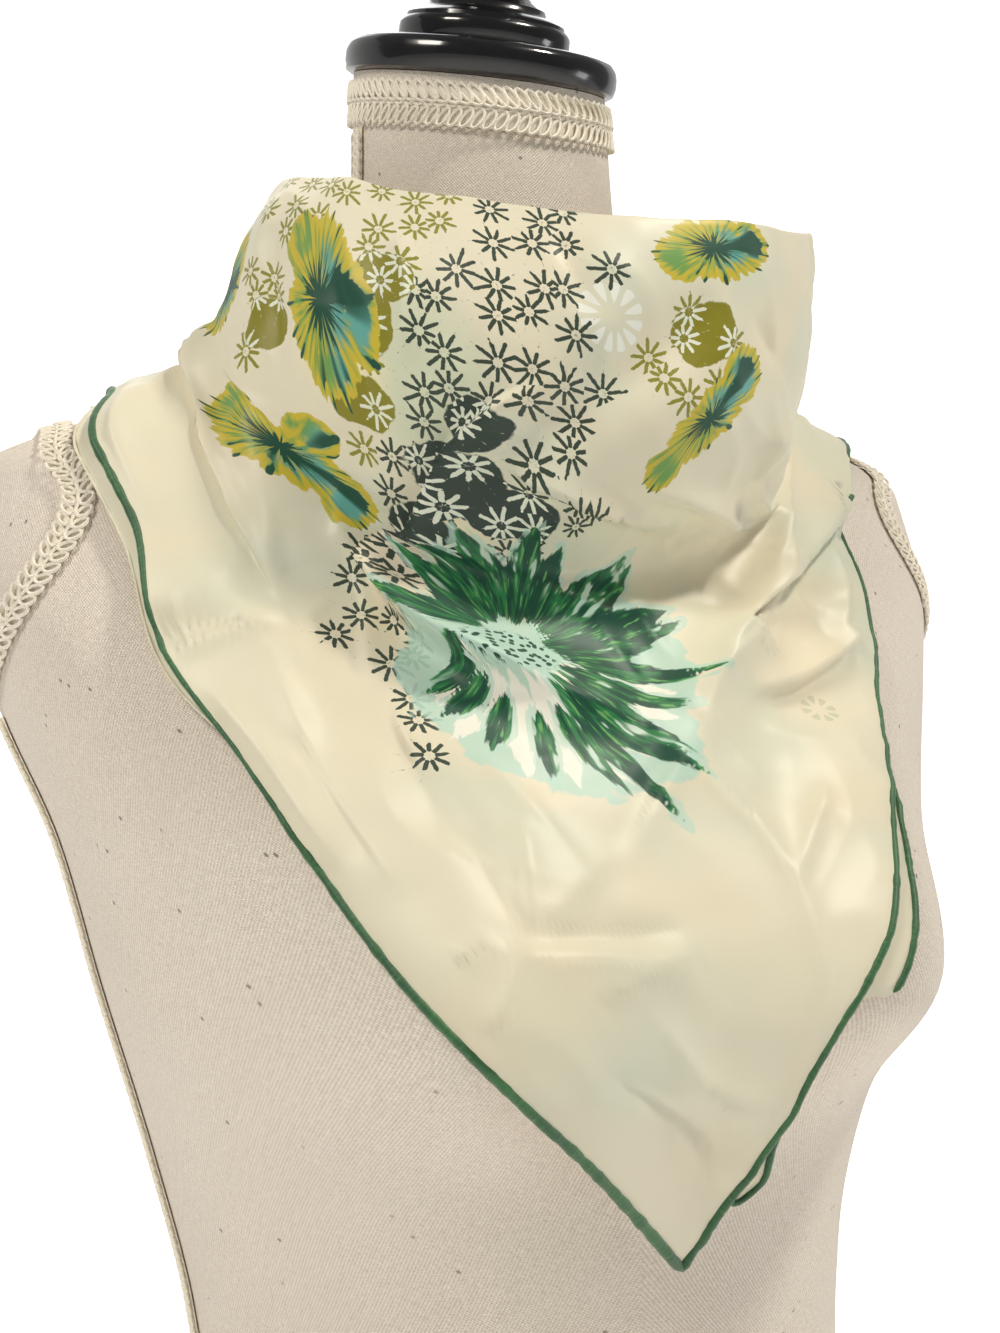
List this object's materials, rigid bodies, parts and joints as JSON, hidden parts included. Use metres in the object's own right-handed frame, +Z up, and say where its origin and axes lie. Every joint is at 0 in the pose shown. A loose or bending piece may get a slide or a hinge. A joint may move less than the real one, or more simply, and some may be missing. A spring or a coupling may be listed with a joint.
{
  "type": "silk square scarf on a dress form",
  "caption": "Silk square folded to a triangle, standing as a loose cowl round the neck of a limbless dress form, with its point on the chest and its ends knotted at the nape.",
  "frame": {"origin": "under the middle of the whole part, on the surface that the base board stands on", "axes": "+Z up along the neck, -Y the way the chest and the scarf's point face, +X to the form's left"},
  "size_m": [0.386, 0.2989, 0.7536],
  "materials": {
    "canvas": "natural cotton canvas, plain weave with small dark flecks, matte",
    "braid": "ivory looped gimp braid",
    "silk": "fine cream silk with a soft sheen and a green and olive flower print",
    "green_hem": "rolled silk hem in leaf green, soft sheen",
    "black_wood": "turned wood in glossy black lacquer"
  },
  "bodies": {
    "root": {"form_torso": "canvas", "form_base_board": "black_wood", "neck_cap_flange": "black_wood", "neck_cap_finial": "black_wood", "gimp_neck_band": "braid", "gimp_shoulder_left": "braid", "gimp_shoulder_right": "braid", "gimp_side_left": "braid", "gimp_side_right": "braid", "gimp_armhole_left": "braid", "gimp_armhole_right": "braid", "scarf_front": "silk", "hem_front": "green_hem", "scarf_back_right": "silk", "hem_back_right": "green_hem", "scarf_back_left": "silk", "hem_back_left": "green_hem", "under_right_shoulder": "silk", "hem_under_right_shoulder": "green_hem", "under_left_chest": "silk", "hem_under_left_chest": "green_hem", "knot": "silk", "tail_left": "silk", "hem_tail_left": "green_hem", "tail_right": "silk", "hem_tail_right": "green_hem"}
  },
  "joints": []
}
